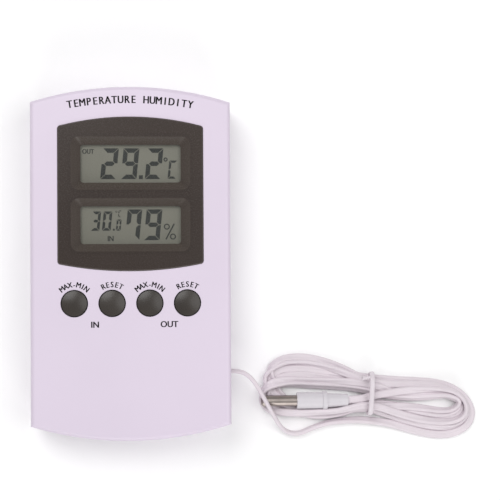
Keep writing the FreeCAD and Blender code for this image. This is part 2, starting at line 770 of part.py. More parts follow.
def board_components():
    chip = [("0.0", "board_height - chip_height"), ("chip_crown_radius", "board_height - chip_edge"),
            ("chip_radius", "board_height"), ("0.0", "board_height")]
    node(turned("chip", chip), "controller_chip")
    place(NODES[-1], y="chip_y")

    sensor_bottom = "board_height - sensor_height"
    sensor = block("sensor_case", ("vent_x - sensor_half_width", "vent_x + sensor_half_width"),
                   ("vent_y - sensor_half_length", "vent_y + sensor_half_length"),
                   (sensor_bottom, "board_height"))
    slots = []
    for step in (-1, 0, 1):
        middle = f"vent_x + {step} * sensor_slot_pitch"
        slots.append(block(f"sensor_slot_{step + 1}",
                           (f"{middle} - sensor_slot_width / 2", f"{middle} + sensor_slot_width / 2"),
                           ("vent_y - sensor_half_length + 1.5", "vent_y + sensor_half_length - 1.5"),
                           (f"{sensor_bottom} - 0.5", f"{sensor_bottom} + sensor_slot_depth")))
    node(cut("sensor", sensor, fuse("sensor_slots", slots)), "humidity_sensor")

    bead = DOC.addObject("Part::Sphere", "bead")
    bind(bead, Radius="bead_radius")
    place(bead, "bead_x", "vent_y", "board_height - bead_drop")
    legs = [rod(f"bead_leg_{side}", "bead_leg_radius", "bead_drop - bead_leg_offset / 2",
                f"bead_x {sign} bead_leg_offset", "vent_y",
                "board_height - bead_drop + bead_leg_offset / 2")
            for side, sign in (("left", "-"), ("right", "+"))]
    node(fuse("thermistor", [bead] + legs), "air_thermistor")
    node(rod("crystal", "crystal_radius", "crystal_length", "crystal_x", "crystal_y",
             "board_height - crystal_radius", X_AXIS), "quartz_crystal")


def unit_switch():
    """The slide switch that changes the temperature unit, reached through the rear cover."""
    switch_bottom = "board_height - switch_height"
    housing = block("switch_housing", ("switch_x - switch_half_width", "switch_x + switch_half_width"),
                    ("switch_y - switch_half_length", "switch_y + switch_half_length"),
                    (switch_bottom, "board_height"))
    half_channel = "(knob_length / 2 + switch_travel / 2 + switch_channel_gap)"
    half_slot = "(knob_width / 2 + switch_channel_gap)"
    channel = block("switch_channel", (f"switch_x - {half_channel}", f"switch_x + {half_channel}"),
                    (f"switch_y - {half_slot}", f"switch_y + {half_slot}"),
                    (f"{switch_bottom} - 1", f"{switch_bottom} + switch_height / 2"))
    node(cut("switch_body", housing, channel), "unit_switch_body")
    left = "switch_x - knob_length / 2 - switch_travel / 2"
    node(block("switch_knob", (left, f"{left} + knob_length"),
               ("switch_y - knob_width / 2", "switch_y + knob_width / 2"),
               ("knob_bottom", f"{switch_bottom} + switch_height / 2 - switch_channel_gap")),
         "unit_switch_knob")


# ---- push buttons ------------------------------------------------------------------------------

def buttons():
    """Four domed caps, each on a rubber dome that brings it back."""
    crown = "(button_crown - button_rim)"
    crown_radius = f"(button_radius ^ 2 + {crown} ^ 2) / (2 * {crown})"
    cap = [("0.0", "dome_top + 0.05"), ("stem_radius", "dome_top + 0.05"),
           ("stem_radius", "flange_top - flange_thickness"),
           ("flange_radius", "flange_top - flange_thickness"), ("flange_radius", "flange_top"),
           ("button_radius", "flange_top"), ("button_radius", "button_rim"),
           ("0.0", "button_crown")]
    base = "board_height + board_thickness"
    dome = [("stem_radius", base), ("dome_foot_radius", base),
            ("dome_foot_radius", f"{base} + dome_foot_height"),
            ("dome_skirt_radius", f"{base} + dome_foot_height"),
            ("dome_shoulder_radius", "dome_top"), ("0.0", "dome_top"),
            ("0.0", "dome_top - dome_crown"), ("stem_radius", "dome_top - dome_crown")]
    for name, (x, y) in zip(BUTTONS, button_places()):
        body = turned(f"cap_{name}", cap, {6: crown_radius})
        place(body, x, y)
        node(body, f"button_{name}")
        body = turned(f"dome_{name}", dome)
        place(body, x, y)
        node(body, f"rubber_dome_{name}")


# ---- battery, its contacts and its door ------------------------------------------------------------

def battery():
    right = "bay_right - contact_thickness - 0.15"
    left = f"{right} - nub_length - cell_length"
    body = rod("cell_body", "cell_radius", "cell_length", left, "bay_middle", "cell_height", X_AXIS)
    nub = rod("cell_nub", "nub_radius", "nub_length", f"{left} + cell_length", "bay_middle",
              "cell_height", X_AXIS)
    node(fuse("cell", [body, nub]), "battery_cell")

    plate_y = ("bay_middle - 4", "bay_middle + 4")
    tab_y = ("bay_middle - contact_tab_width / 2", "bay_middle + contact_tab_width / 2")
    for side, start in (("positive", right), ("negative", "bay_left + 0.15")):
        x = (start, f"{start} + contact_thickness")
        plate = block(f"{side}_plate", x, plate_y, ("3", "bay_ceiling - 0.3"))
        tab = block(f"{side}_tab", x, tab_y, ("bay_ceiling - 0.3", "contact_tab_top"))
        node(fuse(f"{side}_strip", [plate, tab]), f"{side}_contact")

    spring_start = number("bay_left + 0.15 + contact_thickness")
    spring_length = number(left) - spring_start
    node(coil_spring("cell_spring", spring_start, spring_length), "battery_spring")
    height = number("contact_tab_top") - 0.8
    board_top = number("board_height + board_thickness")
    tab_side, end_y = number(tab_y[1]), number("wire_end_y")
    for side, x, pad_x in (("positive", number(right) + 0.25, number(right) - 0.6),
                           ("negative", number("bay_left") + 0.4, number("wire_left_x"))):
        route = [(x, tab_side, height), (x, tab_side + 3, height), (pad_x, tab_side + 9, height),
                 (pad_x, end_y, height), (pad_x, end_y, board_top)]
        node(along_path(f"{side}_wire", route, number("wire_radius")), f"battery_wire_{side}")


def coil_spring(name, start, length):
    """A compression spring along +X between its contact and the cell."""
    wire, radius, turns = number("spring_wire"), number("spring_radius"), 3
    helix = Part.makeHelix((length - 2 * wire) / turns, length - 2 * wire, radius)
    edge = helix.Edges[0]
    begin = edge.FirstParameter
    section = Part.Wire(Part.makeCircle(wire, edge.valueAt(begin), edge.tangentAt(begin)))
    feature = DOC.addObject("Part::Feature", name)
    feature.Shape = Part.Wire(helix.Edges).makePipeShell([section], True, True)
    centre = FreeCAD.Vector(start + wire, number("bay_middle"), number("cell_height"))
    feature.Placement = FreeCAD.Placement(centre, X_AXIS)
    return feature


def battery_door():
    """A plate with a round hinge edge, two hinge pins and a springy latch."""
    x = ("bay_left - door_ledge + door_gap", "bay_right + door_ledge - door_gap")
    axis_y = door_axis_y()
    far = "bay_middle + bay_width / 2 + door_ledge - door_gap"
    plate = block("door_plate", x, (axis_y, far), ("0", "door_thickness"))
    barrel = rod("door_barrel_rod", "door_barrel", f"{x[1]} - ({x[0]})", x[0], axis_y,
                 "door_barrel", X_AXIS)
    pins = rod("door_pins", "door_pin_radius",
               f"{x[1]} - ({x[0]}) + 2 * door_pin_length", f"{x[0]} - door_pin_length",
               axis_y, "door_barrel", X_AXIS)
    middle = "(bay_left + bay_right) / 2"
    latch = block("door_latch", (f"{middle} - latch_half_width", f"{middle} + latch_half_width"),
                  (f"{far} - 0.6 - latch_thickness", f"{far} - 0.6"), ("door_thickness", "latch_top"))
    grooves = []
    for i in range(4):
        edge = f"{far} - 1 - {i} * groove_pitch"
        grooves.append(block(f"door_groove_{i}",
                             (f"{middle} - groove_half_width", f"{middle} + groove_half_width"),
                             (f"{edge} - groove_width", edge), ("-0.1", "groove_depth")))
    solid = fuse("door_solid", [plate, barrel, pins, latch])
    node(cut("door", solid, fuse("door_grooves", grooves)), "battery_door")


def stand():
    """A leg that folds flat into the back of the case."""
    x = ("-stand_width / 2", "stand_width / 2")
    height = "stand_lift + stand_barrel"
    plate = block("stand_plate", x, ("stand_foot", "stand_pivot"),
                  ("stand_lift", "stand_lift + stand_thickness"))
    barrel = rod("stand_barrel_rod", "stand_barrel", "stand_width", x[0], "stand_pivot", height, X_AXIS)
    pins = rod("stand_pins", "stand_pin_radius", "stand_width + 2 * stand_pin_length",
               f"{x[0]} - stand_pin_length", "stand_pivot", height, X_AXIS)
    grip = rod("stand_grip", "grip_radius", "8", "0", "stand_foot - grip_radius / 2", "-1")
    ribs = []
    for i in range(4):
        middle = f"(rib_first + {i} * rib_pitch)"
        ribs.append(block(f"stand_groove_{i}", ("-rib_half_width", "rib_half_width"),
                          (f"{middle} - rib_width / 2", f"{middle} + rib_width / 2"),
                          ("stand_lift - 0.1", "stand_lift + rib_depth")))
    solid = fuse("stand_solid", [plate, barrel, pins])
    node(cut("stand_leg", solid, fuse("stand_cuts", [grip] + ribs)), "fold_out_stand")


# ---- lead and probe ----------------------------------------------------------------------------------

LEAD_ROUTE = [
    (31.0, -34.2, 10.0), (34.1, -34.2, 10.0), (37.2, -35.8, 9.9), (39.7, -39.0, 9.4),
    (42.2, -43.5, 8.4), (44.8, -48.2, 6.4), (47.8, -52.4, 3.7), (51.2, -55.0, 1.7),
    (55.2, -55.4, 1.3), (59.2, -53.3, 1.3), (64.8, -51.5, 1.3), (74.0, -51.0, 1.3),
    (83.2, -52.2, 1.3),
]


def lead():
    """The flat lead, from the board through the wall to the hank, and the hank itself."""
    radius = number("lead_radius")
    side, y, z = number("case_width / 2"), number("lead_y"), number("lead_height")
    bend, rise = number("lead_bend_x"), number("lead_rise")
    tail = [(side, y, z), (bend, y, z), (bend, y + 6.4, rise), (bend, number("board_bottom"), rise)]
    node(along_path("lead_inside", tail, radius), "lead_tail")
    bush = rod("grommet_bush", "grommet_radius - pin_gap", "wall",
               "case_width / 2 - wall", "lead_y", "lead_height", X_AXIS)
    flange = rod("grommet_flange_disc", "grommet_flange", "grommet_flange_thickness",
                 "case_width / 2 - wall - grommet_flange_thickness", "lead_y", "lead_height", X_AXIS)
    bore = rod("grommet_bore", "lead_radius", "wall + 3", "case_width / 2 - wall - 2", "lead_y",
               "lead_height", X_AXIS)
    node(cut("grommet", fuse("grommet_solid", [bush, flange]), bore), "lead_grommet")
    node(along_path("lead_outside", LEAD_ROUTE, radius, report=True), "lead_run")

    body = new_body("hank_solid")
    corners = [("77", "-49.2"), ("101.9", "-58"), ("112.2", "-49.2"), ("105.1", "-40.6"),
               ("77", "-35.8"), ("63.9", "-29.6"), ("48.7", "-29.3"), ("40.2", "-37.6"),
               ("40.2", "-43.3"), ("48.1", "-52")]
    arcs = {1: "8.8", 2: "11.4", 5: "42", 6: "8.8", 8: "9.2"}
    pad(body, outline(new_sketch(body, "hank_outline"), corners, arcs), "hank_height")
    room = rod("probe_room", "sleeve_ring_radius + 0.05", "sleeve_end - probe_tip + 6",
               "probe_tip - 6", "probe_y", "probe_height", X_AXIS)
    node(cut("hank_with_room", body, room), "lead_hank")
    hank_tie()


def hank_tie():
    """A coated wire bound round the waist of the hank."""
    x, y = number("tie_x"), number("tie_y")
    low, high = number("tie_low"), number("tie_high")
    half, bend = number("tie_half_width"), (number("tie_high") - number("tie_low")) / 2
    flat = half - bend
    corners = [FreeCAD.Vector(x, y + side * flat, z)
               for side, z in ((-1, low), (1, low), (1, high), (-1, high))]
    middle = (low + high) / 2
    path = Part.Wire([
        Part.LineSegment(corners[0], corners[1]).toShape(),
        Part.Arc(corners[1], FreeCAD.Vector(x, y + half, middle), corners[2]).toShape(),
        Part.LineSegment(corners[2], corners[3]).toShape(),
        Part.Arc(corners[3], FreeCAD.Vector(x, y - half, middle), corners[0]).toShape(),
    ])
    section = Part.Wire(Part.makeCircle(number("tie_wire"), corners[0], FreeCAD.Vector(0, 1, 0)))
    feature = DOC.addObject("Part::Feature", "tie")
    feature.Shape = path.makePipeShell([section], True, False)
    feature.Placement = FreeCAD.Placement()
    node(feature, "hank_tie")


def probe():
    """A closed steel tube in a moulded sleeve, with the sensing bead in its tip."""
    inner = "probe_radius - probe_wall"
    tube = [("probe_tip", "0.0"), ("probe_tip + probe_end_wall", "0.0"),
            ("probe_tip + probe_end_wall", inner), ("probe_seat", inner),
            ("probe_seat", "probe_radius"), ("probe_tip + probe_tip_round", "probe_radius"),
            ("probe_tip", "probe_radius - probe_tip_round")]
    sleeve = [("sleeve_start", "probe_radius"), ("probe_seat", "probe_radius"),
              ("probe_seat", "0.0"), ("sleeve_end", "0.0"), ("sleeve_end", "sleeve_tail_radius"),
              ("sleeve_ring_end", "sleeve_neck_radius"), ("sleeve_ring_end", "sleeve_ring_radius"),
              ("sleeve_ring", "sleeve_ring_radius"), ("sleeve_ring", "sleeve_radius"),
              ("sleeve_start", "sleeve_radius")]
    for name, profile in (("tube", tube), ("sleeve", sleeve)):
        body = turned(f"probe_{name}_body", profile, about="X")
        place(body, y="probe_y", z="probe_height")
        node(body, f"probe_{name}")
    node(rod("probe_bead", "probe_radius - probe_wall - 0.2", "bead_length", "probe_tip + 1",
             "probe_y", "probe_height", X_AXIS), "probe_thermistor")


# ---- build, check and write --------------------------------------------------------------------------

def main():
    front_cover()
    rear_cover()
    case_screws()
    display_bezel()
    lenses()
    panel()
    circuit_board()
    board_components()
    unit_switch()
    buttons()
    battery()
    battery_door()
    stand()
    lead()
    probe()
    DOC.recompute()
    broken = [f.Label for f in DOC.Objects if "Invalid" in f.State or "Error" in f.State]
    broken += [f.Label for f in NODES if f.Shape.isNull() or not f.Shape.isValid()]
    if broken:
        raise ValueError("not built: " + ", ".join(broken))
    os.makedirs("parts", exist_ok=True)
    for feature in NODES:
        feature.Shape.exportStep(f"parts/{feature.Label}.step")
        shape = feature.Shape
        print(f"{feature.Label:28s} solids {len(shape.Solids)}  volume {shape.Volume:9.1f}")
    print(len(NODES), "sub-parts")


main()
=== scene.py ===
"""Looks of the indoor and outdoor maximum-minimum thermometer with hygrometer and wired probe.

The instrument lies on its back on a pale floor. Millimetre values are turned into metres by MM.
"""
import json
import math

import bmesh
import bpy
import numpy as np
from mathutils import Matrix, Vector


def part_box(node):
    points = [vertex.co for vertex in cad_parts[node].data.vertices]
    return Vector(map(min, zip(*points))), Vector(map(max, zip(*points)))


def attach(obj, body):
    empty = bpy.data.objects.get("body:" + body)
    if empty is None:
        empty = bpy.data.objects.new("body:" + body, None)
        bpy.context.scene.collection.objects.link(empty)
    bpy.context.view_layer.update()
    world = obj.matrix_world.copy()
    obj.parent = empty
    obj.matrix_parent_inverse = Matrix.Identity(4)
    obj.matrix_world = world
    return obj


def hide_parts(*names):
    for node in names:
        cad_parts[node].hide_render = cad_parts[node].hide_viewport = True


MM = 0.001
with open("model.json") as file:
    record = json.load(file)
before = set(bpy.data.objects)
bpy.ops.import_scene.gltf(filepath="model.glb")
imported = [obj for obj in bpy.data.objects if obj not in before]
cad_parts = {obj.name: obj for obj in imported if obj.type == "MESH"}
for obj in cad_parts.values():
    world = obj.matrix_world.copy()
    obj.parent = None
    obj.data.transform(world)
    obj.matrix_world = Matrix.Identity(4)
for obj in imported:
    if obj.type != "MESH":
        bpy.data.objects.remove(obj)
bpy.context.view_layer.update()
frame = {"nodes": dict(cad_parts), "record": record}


# ---- materials ---------------------------------------------------------------------------------

def node_of(tree, kind, **values):
    """A shader node with some of its inputs set."""
    made = tree.nodes.new(kind)
    for name, value in values.items():
        made.inputs[name.replace("_", " ")].default_value = value
    return made


def noise_of(tree, scale, detail=3.0):
    """Noise in the row frame; scale is in waves per metre."""
    place = tree.nodes.new("ShaderNodeTexCoord")
    noise = node_of(tree, "ShaderNodeTexNoise", Scale=scale, Detail=detail)
    tree.links.new(place.outputs["Object"], noise.inputs["Vector"])
    return noise


def ramp_of(tree, source, low, high, start=0.35, end=0.65):
    """A colour ramp between two colours."""
    ramp = tree.nodes.new("ShaderNodeValToRGB")
    ramp.color_ramp.elements[0].position = start
    ramp.color_ramp.elements[0].color = (*low, 1)
    ramp.color_ramp.elements[1].position = end
    ramp.color_ramp.elements[1].color = (*high, 1)
    tree.links.new(source, ramp.inputs["Fac"])
    return ramp


def surface(name, low, high, patches=60, rough=(0.4, 0.5), grain=2500, depth=0.00002,
            stretch=None, **shader_values):
    """A material whose colour and roughness drift between two values over a fine bump.

    patches and grain are in waves per metre and depth is in metres. stretch scales the grain
    along each axis, as for drawn metal.
    """
    material = bpy.data.materials.new(name)
    material.use_nodes = True
    tree = material.node_tree
    shader = tree.nodes["Principled BSDF"]
    for key, value in shader_values.items():
        shader.inputs[key.replace("_", " ")].default_value = value
    drift = noise_of(tree, patches)
    tree.links.new(ramp_of(tree, drift.outputs["Fac"], low, high).outputs["Color"],
                   shader.inputs["Base Color"])
    wear = node_of(tree, "ShaderNodeMapRange", To_Min=rough[0], To_Max=rough[1])
    fine = noise_of(tree, grain, 2.0)
    if stretch:
        place = next(n for n in tree.nodes if n.type == "TEX_COORD" and n.outputs["Object"].links
                     and n.outputs["Object"].links[0].to_node == fine)
        scaled = node_of(tree, "ShaderNodeMapping", Scale=stretch)
        tree.links.new(place.outputs["Object"], scaled.inputs["Vector"])
        tree.links.new(scaled.outputs["Vector"], fine.inputs["Vector"])
    tree.links.new(fine.outputs["Fac"], wear.inputs["Value"])
    tree.links.new(wear.outputs["Result"], shader.inputs["Roughness"])
    bump = node_of(tree, "ShaderNodeBump", Strength=0.6, Distance=depth)
    tree.links.new(fine.outputs["Fac"], bump.inputs["Height"])
    tree.links.new(bump.outputs["Normal"], shader.inputs["Normal"])
    return material


def material_set():
    """One material for each of the record's slots, and those of the added pieces."""
    return {
        "case_plastic": surface("case_plastic", (0.665, 0.585, 0.695), (0.685, 0.602, 0.715), 30,
                                (0.36, 0.44), 3500, 0.000006),
        "bezel_plastic": bezel_plastic(),
        "button_plastic": surface("button_plastic", (0.036, 0.030, 0.026), (0.044, 0.037, 0.032),
                                  90, (0.24, 0.32), 4000, 0.000004, Specular_IOR_Level=0.4),
        "window_clear": surface("window_clear", (0.30, 0.32, 0.31), (0.36, 0.38, 0.37), 50,
                                (0.03, 0.06), 900, 0.000001, Alpha=0.05, IOR=1.46),
        "display_glass": surface("display_glass", (0.22, 0.24, 0.20), (0.25, 0.27, 0.23), 50,
                                 (0.08, 0.12), 900, 0.000001),
        "display_film": surface("display_film", (0.165, 0.160, 0.128), (0.182, 0.177, 0.142), 35,
                                (0.42, 0.50), 5000, 0.000002, Specular_IOR_Level=0.2),
        "display_reflector": surface("display_reflector", (0.55, 0.56, 0.54), (0.62, 0.63, 0.60),
                                     80, (0.35, 0.5), 4000, 0.000004, Metallic=0.8),
        "display_frame": surface("display_frame", (0.68, 0.68, 0.66), (0.74, 0.74, 0.72), 60),
        "contact_rubber": surface("contact_rubber", (0.035, 0.035, 0.04), (0.06, 0.06, 0.065), 900,
                                  (0.6, 0.75)),
        "board_laminate": board_laminate(),
        "black_epoxy": surface("black_epoxy", (0.012, 0.012, 0.013), (0.025, 0.025, 0.027), 120,
                               (0.2, 0.35), 800, 0.0001),
        "sensor_housing": surface("sensor_housing", (0.72, 0.72, 0.69), (0.8, 0.8, 0.77), 150),
        "sensing_bead": surface("sensing_bead", (0.10, 0.03, 0.015), (0.18, 0.06, 0.03), 500,
                                (0.12, 0.25)),
        "crystal_can": surface("crystal_can", (0.55, 0.54, 0.51), (0.66, 0.65, 0.62), 300,
                               (0.22, 0.34), Metallic=1.0),
        "switch_housing": surface("switch_housing", (0.02, 0.02, 0.022), (0.035, 0.035, 0.038),
                                  200),
        "switch_knob": surface("switch_knob", (0.025, 0.024, 0.024), (0.04, 0.038, 0.038), 200),
        "cell_jacket": cell_jacket(),
        "contact_metal": surface("contact_metal", (0.58, 0.56, 0.51), (0.68, 0.66, 0.61), 250,
                                 (0.18, 0.32), 2500, 0.00001, Metallic=1.0),
        "wire_red": surface("wire_red", (0.40, 0.02, 0.015), (0.50, 0.035, 0.025), 400),
        "wire_black": surface("wire_black", (0.015, 0.015, 0.016), (0.03, 0.03, 0.032), 400),
        "screw_steel": surface("screw_steel", (0.42, 0.41, 0.38), (0.55, 0.54, 0.5), 300,
                               (0.25, 0.42), 3000, 0.00001, Metallic=1.0),
        "lead_sheath": surface("lead_sheath", (0.680, 0.612, 0.655), (0.715, 0.645, 0.690), 90,
                               (0.36, 0.46), 1800, 0.00001, Coat_Weight=0.08),
        "grommet_plastic": surface("grommet_plastic", (0.60, 0.55, 0.60), (0.66, 0.60, 0.66), 90,
                                   (0.45, 0.55)),
        "tie_coating": surface("tie_coating", (0.67, 0.61, 0.65), (0.71, 0.65, 0.69), 120,
                               (0.3, 0.4), 1500, 0.00001),
        "probe_steel": surface("probe_steel", (0.30, 0.26, 0.24), (0.42, 0.37, 0.34), 200,
                               (0.24, 0.40), 1500, 0.00002, stretch=(0.08, 1, 1), Metallic=1.0),
        "sleeve_plastic": surface("sleeve_plastic", (0.60, 0.57, 0.605), (0.64, 0.61, 0.645), 80,
                                  (0.32, 0.42), 2500, 0.000005),
        "dome_rubber": surface("dome_rubber", (0.22, 0.22, 0.23), (0.28, 0.28, 0.29), 150,
                               (0.55, 0.7)),
        "segment_ink": surface("segment_ink", (0.012, 0.013, 0.011), (0.017, 0.018, 0.016), 300,
                               (0.45, 0.55), Specular_IOR_Level=0.1),
        "print_ink": surface("print_ink", (0.008, 0.007, 0.008), (0.014, 0.012, 0.013), 500,
                             (0.45, 0.6), Specular_IOR_Level=0.1),
        "floor": surface("floor", (0.955, 0.955, 0.955), (0.97, 0.97, 0.97), 8, (0.7, 0.8), 300,
                         0.00001),
    }


def bezel_plastic():
    """A dark smooth face with a painted sheen: a paler colour on the sloping sides of the wells
    stands in for the light they catch.
    """
    material = surface("bezel_plastic", (0.030, 0.020, 0.016), (0.035, 0.024, 0.019), 40,
                       (0.24, 0.30), 4000, 0.000003, Specular_IOR_Level=0.4)
    tree = material.node_tree
    shader = tree.nodes["Principled BSDF"]
    shape = tree.nodes.new("ShaderNodeNewGeometry")
    parts = tree.nodes.new("ShaderNodeSeparateXYZ")
    # Painted sheen: faces tilted away from straight up, such as the sides of the wells, are mixed
    # towards a paler colour that stands in for reflected light.
    painted_sheen_mask = node_of(tree, "ShaderNodeMapRange", From_Min=0.70, From_Max=0.85, To_Min=1.0,
                    To_Max=0.0)
    painted_sheen_mix = node_of(tree, "ShaderNodeMixRGB", Color2=(0.080, 0.065, 0.056, 1))
    face = shader.inputs["Base Color"].links[0].from_socket
    tree.links.new(shape.outputs["Normal"], parts.inputs["Vector"])
    tree.links.new(parts.outputs["Z"], painted_sheen_mask.inputs["Value"])
    tree.links.new(painted_sheen_mask.outputs["Result"], painted_sheen_mix.inputs["Fac"])
    tree.links.new(face, painted_sheen_mix.inputs["Color1"])
    tree.links.new(painted_sheen_mix.outputs["Color"], shader.inputs["Base Color"])
    return material


def board_laminate():
    """Green solder mask with paler tracks under it."""
    material = surface("board_laminate", (0.018, 0.085, 0.03), (0.022, 0.10, 0.036), 80,
                       (0.25, 0.4))
    tree = material.node_tree
    shader = tree.nodes["Principled BSDF"]
    place = tree.nodes.new("ShaderNodeTexCoord")
    bricks = node_of(tree, "ShaderNodeTexBrick", Scale=220.0, Mortar_Size=0.012,
                     Color1=(0.018, 0.085, 0.03, 1), Color2=(0.022, 0.10, 0.036, 1),
                     Mortar=(0.05, 0.20, 0.07, 1))
    tree.links.new(place.outputs["Object"], bricks.inputs["Vector"])
    tree.links.new(bricks.outputs["Color"], shader.inputs["Base Color"])
    return material


def cell_jacket():
    """A plain printed jacket: dark for most of its length, copper at the positive end."""
    material = surface("cell_jacket", (0.02, 0.02, 0.024), (0.03, 0.03, 0.035), 100, (0.18, 0.3))
    tree = material.node_tree
    place = tree.nodes.new("ShaderNodeTexCoord")
    axes = tree.nodes.new("ShaderNodeSeparateXYZ")
    low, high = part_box("battery_cell")
    copper_start = low.x + 0.72 * (high.x - low.x)
    across = node_of(tree, "ShaderNodeMapRange", From_Min=copper_start,
                     From_Max=copper_start + 0.1 * MM)
    colours = ramp_of(tree, across.outputs["Result"], (0.022, 0.022, 0.026), (0.45, 0.20, 0.08),
                      0.3, 0.7)
    tree.links.new(place.outputs["Object"], axes.inputs["Vector"])
    tree.links.new(axes.outputs["X"], across.inputs["Value"])
    tree.links.new(colours.outputs["Color"], tree.nodes["Principled BSDF"].inputs["Base Color"])
    return material


MATERIALS = material_set()


def dress_frame():
    """Give every CAD node the material of its own slot."""
    for part in frame["record"]["subparts"]:
        shown = frame["nodes"].get(part["node"])
        if shown is not None:
            shown.data.materials.clear()
            shown.data.materials.append(MATERIALS[part["material_slot"]])


# ---- small tools for added pieces --------------------------------------------------------------

def piece(name, mesh, material, body="case", smooth=True):
    """An added object that rides on a body."""
    mesh.materials.clear()
    mesh.materials.append(MATERIALS[material])
    made = bpy.data.objects.new(name, mesh)
    bpy.context.scene.collection.objects.link(made)
    mesh.polygons.foreach_set("use_smooth", [smooth] * len(mesh.polygons))
    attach(made, body)
    return made


def flat_mesh(name, polygons, bottom, thickness):
    """Thin prisms over flat polygons given in millimetres."""
    build = bmesh.new()
    for polygon in polygons:
        floor = [build.verts.new((x * MM, y * MM, bottom)) for x, y in polygon]
        face = build.faces.new(floor)
        grown = bmesh.ops.extrude_face_region(build, geom=[face])
        risen = [v for v in grown["geom"] if isinstance(v, bmesh.types.BMVert)]
        bmesh.ops.translate(build, verts=risen, vec=(0, 0, thickness))
    return finished(build, name)


def finished(build, name):
    """The mesh of what was built, with its faces turned outwards."""
    bmesh.ops.recalc_face_normals(build, faces=build.faces)
    mesh = bpy.data.meshes.new(name)
    build.to_mesh(mesh)
    build.free()
    return mesh


# ---- display digits ----------------------------------------------------------------------------

LIT = {"0": "abcdef", "2": "abged", "3": "abgcd", "7": "fabc", "9": "abcdfg", "C": "adef"}
SEGMENT_GAP = 0.12
INK_THICKNESS = 0.02 * MM
INK_LIFT = 0.01 * MM
# width, height and stroke of each size of digit, in millimetres
LARGE = (4.9, 9.6, 1.40)
HUMID = (4.9, 9.6, 1.38)
NARROW_SEVEN = (4.5, 9.6, 1.38)
SMALL = (2.7, 6.0, 0.85)
TINY = (1.5, 3.5, 0.58)
UNIT = (2.6, 5.7, 0.72)
SMALL_UNIT = (1.0, 2.1, 0.34)
DIGIT_SLANT = 0.1
# lower edge of each row of digits
UPPER_ROW = 26.4
LOWER_ROW = 7.3
SMALL_ROW = 10.3


def segments(width, height, stroke):
    """The seven segments of a digit, as polygons from its lower left corner."""
    gap, half = SEGMENT_GAP, stroke / 2
    middle = height / 2
    top = [(gap, height), (width - gap, height), (width - stroke - gap, height - stroke),
           (stroke + gap, height - stroke)]
    upper_left = [(0, height - gap), (0, middle + gap), (half, middle + gap),
                  (stroke, middle + half + gap), (stroke, height - stroke - gap)]
    centre = [(half + gap, middle), (stroke + gap, middle + half),
              (width - stroke - gap, middle + half), (width - half - gap, middle),
              (width - stroke - gap, middle - half), (stroke + gap, middle - half)]

    def turned_over(shape):
        return [(x, height - y) for x, y in shape]

    def mirrored(shape):
        return [(width - x, y) for x, y in shape]

    return {"a": top, "d": turned_over(top), "f": upper_left, "e": turned_over(upper_left),
            "b": mirrored(upper_left), "c": mirrored(turned_over(upper_left)), "g": centre}


def digit(character, left, bottom, size):
    """The lit segments of one character, leaning to the right."""
    shapes = segments(*size)
    return [[(left + x + DIGIT_SLANT * y, bottom + y) for x, y in shapes[name]]
            for name in LIT[character]]


def dot(left, bottom, size):
    """A square decimal point."""
    return [[(left, bottom), (left + size, bottom), (left + size, bottom + size),
             (left, bottom + size)]]


def ring(x, y, radius, stroke, steps=16):
    """A small circle drawn as a band of quadrilaterals."""
    angles = [2 * math.pi * i / steps for i in range(steps + 1)]
    rim = [[(x + r * math.cos(a), y + r * math.sin(a)) for a in angles]
           for r in (radius - stroke, radius)]
    return [[rim[0][i], rim[1][i], rim[1][i + 1], rim[0][i + 1]] for i in range(steps)]


def bar(start, end, stroke):
    """A straight stroke between two points."""
    dx, dy = end[0] - start[0], end[1] - start[1]
    length = math.hypot(dx, dy)
    nx, ny = -dy / length * stroke / 2, dx / length * stroke / 2
    return [[(start[0] + nx, start[1] + ny), (start[0] - nx, start[1] - ny),
             (end[0] - nx, end[1] - ny), (end[0] + nx, end[1] + ny)]]


def display_digits():
    """The readings: outdoor temperature above, indoor temperature and humidity below."""
    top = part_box("lcd_polariser")[1].z + INK_LIFT
    upper = (digit("2", -9.5, UPPER_ROW, LARGE) + digit("9", -3.1, UPPER_ROW, LARGE)
             + dot(2.6, UPPER_ROW, 1.2) + digit("2", 4.4, UPPER_ROW, LARGE)
             + ring(10.9, 32.5, 0.66, 0.36) + digit("C", 11.5, 26.5, UNIT))
    lower = (digit("3", -12.5, SMALL_ROW, SMALL) + digit("0", -9.0, SMALL_ROW, SMALL)
             + dot(-5.6, SMALL_ROW, 0.6) + digit("0", -4.7, SMALL_ROW, TINY)
             + ring(-4.5, 16.2, 0.3, 0.14) + digit("C", -4.0, 14.5, SMALL_UNIT)
             + digit("7", -1.9, LOWER_ROW, NARROW_SEVEN) + digit("9", 4.0, LOWER_ROW, HUMID)
             + ring(11.2, 11.5, 0.95, 0.36) + ring(13.1, 8.4, 0.95, 0.36)
             + bar((10.9, 7.5), (13.5, 12.4), 0.42))
    for name, shapes in (("digits_upper", upper), ("digits_lower", lower)):
        piece(name, flat_mesh(name, shapes, top, INK_THICKNESS), "segment_ink", smooth=False)
    flags = ((-13.2, 34.95, 1.5, "OUT"), (-6.3, 7.75, 1.7, "IN"))
    for x, y, height, words in flags:
        name = f"flag_{words.lower()}"
        mesh = words_mesh(name, [(words, Matrix.Translation((x * MM, y * MM, top)))], height)
        piece(name, mesh, "segment_ink", smooth=False)


# ---- printed labels ----------------------------------------------------------------------------

CAPITAL_SHARE = 0.7
STRIKE_SHIFT = 0.045
BUTTON_LETTERS = 1.7
BUTTON_ARC = 5.75 * MM
GROUP_LETTERS = 1.9
GROUP_ROW = -18.95 * MM
TITLE_LETTERS = 2.35
TITLE_ARC = 112 * MM
TITLE_TOP = 50.8 * MM


def glyph_mesh(words, height):
    """Lettering as a thin mesh, centred on the origin; height is that of a capital, in mm."""
    text = bpy.data.curves.new("glyphs", "FONT")
    text.body = words
    text.align_x = "CENTER"
    text.align_y = "CENTER"
    text.size = height * MM / CAPITAL_SHARE
    text.extrude = INK_THICKNESS / 2
    text.resolution_u = 3
    holder = bpy.data.objects.new("glyphs", text)
    mesh = bpy.data.meshes.new_from_object(holder)
    bpy.data.objects.remove(holder)
    bpy.data.curves.remove(text)
    return mesh


